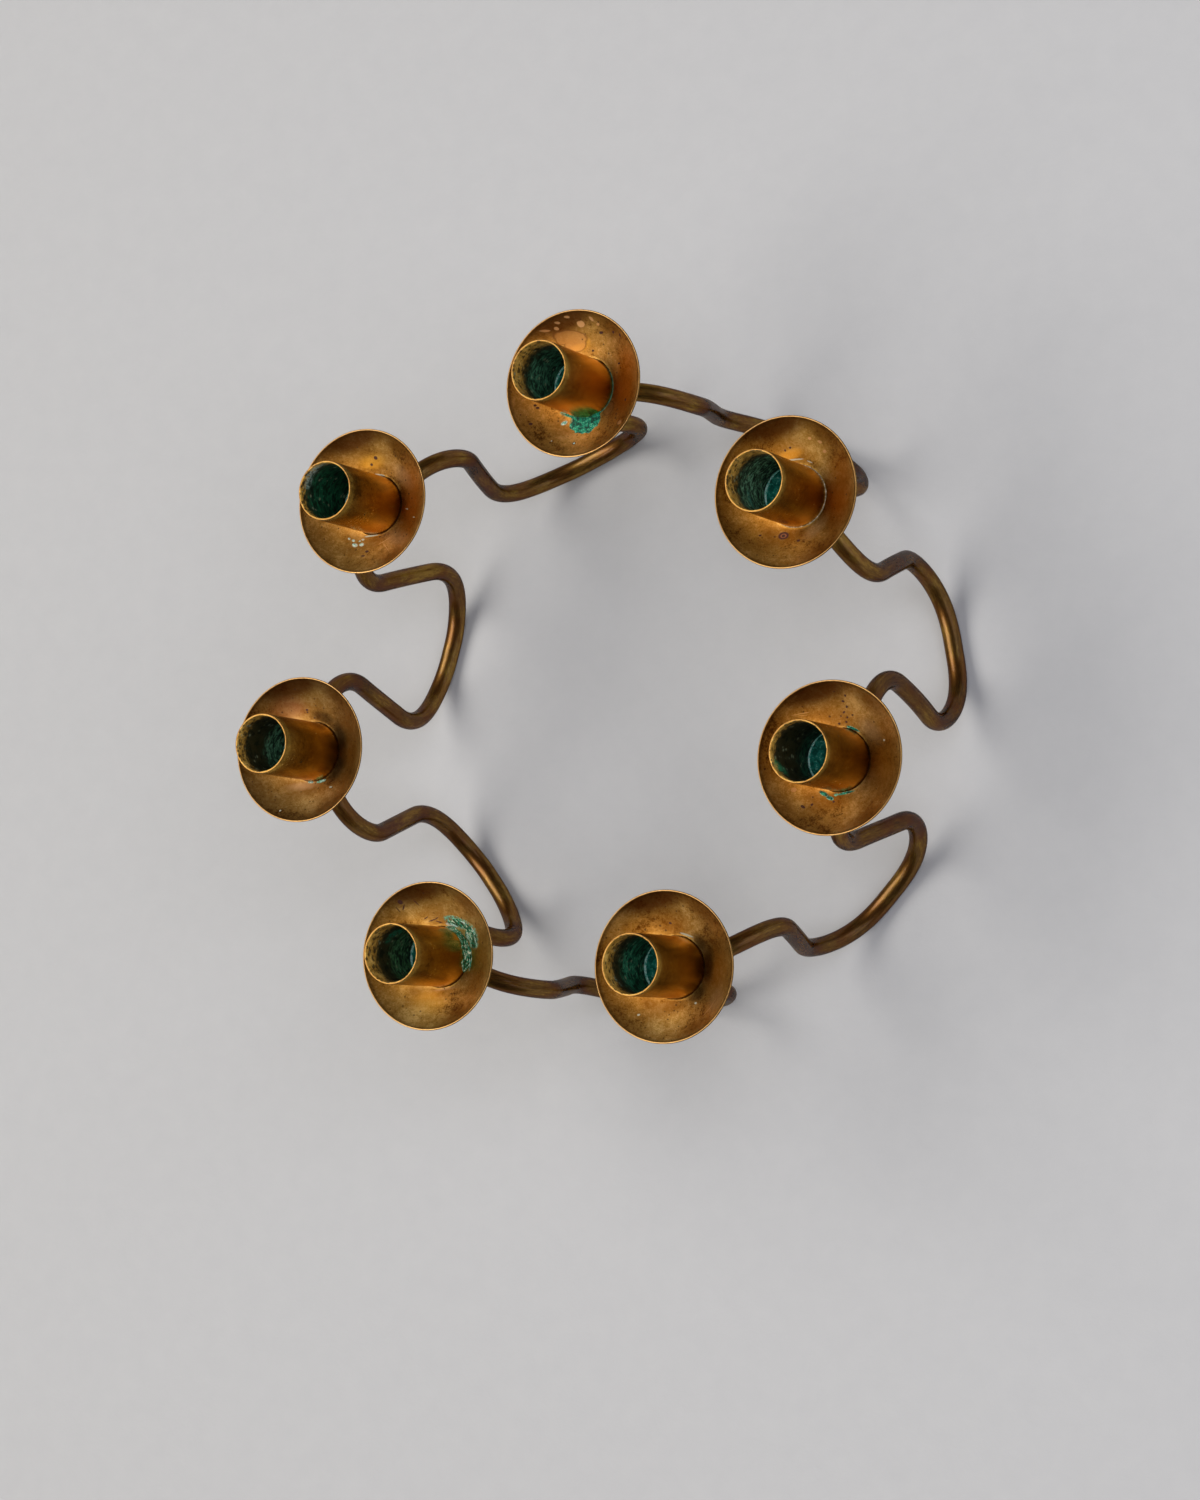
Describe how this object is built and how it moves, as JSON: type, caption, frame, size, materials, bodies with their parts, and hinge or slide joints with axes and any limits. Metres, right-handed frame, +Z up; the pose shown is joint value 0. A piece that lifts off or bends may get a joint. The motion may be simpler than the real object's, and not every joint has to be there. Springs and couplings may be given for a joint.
{
  "type": "candle holder",
  "caption": "Ring-shaped table candle holder of waved round brass rod, with dished drip pans and plain candle tubes on the crests.",
  "frame": {"origin": "centre of the ring, on the table plane under the lower bends of the rod", "axes": "+Z up, along the candles; +Y from the centre towards cup 1; cups 2 to 7 follow anticlockwise seen from above"},
  "size_m": [0.294, 0.2881, 0.158],
  "materials": {
    "rod": "aged olive-brown patina, semi-gloss",
    "saddle": "aged, dull",
    "pan": "aged golden brown, satin, with bright worn edges",
    "tube": "aged golden brown outside, green patina inside",
    "floor": "green patina",
    "screw": "green-grey patina"
  },
  "bodies": {
    "root": {"rod_link_1": "rod", "rod_link_2": "rod", "rod_link_3": "rod", "rod_link_4": "rod", "rod_link_5": "rod", "rod_link_6": "rod", "rod_link_7": "rod", "saddle_1": "saddle", "saddle_2": "saddle", "saddle_3": "saddle", "saddle_4": "saddle", "saddle_5": "saddle", "saddle_6": "saddle", "saddle_7": "saddle", "drip_pan_1": "pan", "drip_pan_2": "pan", "drip_pan_3": "pan", "drip_pan_4": "pan", "drip_pan_5": "pan", "drip_pan_6": "pan", "drip_pan_7": "pan", "candle_tube_1": "tube", "candle_tube_2": "tube", "candle_tube_3": "tube", "candle_tube_4": "tube", "candle_tube_5": "tube", "candle_tube_6": "tube", "candle_tube_7": "tube", "tube_floor_1": "floor", "tube_floor_2": "floor", "tube_floor_3": "floor", "tube_floor_4": "floor", "tube_floor_5": "floor", "tube_floor_6": "floor", "tube_floor_7": "floor", "cup_screws": "screw"}
  },
  "joints": []
}
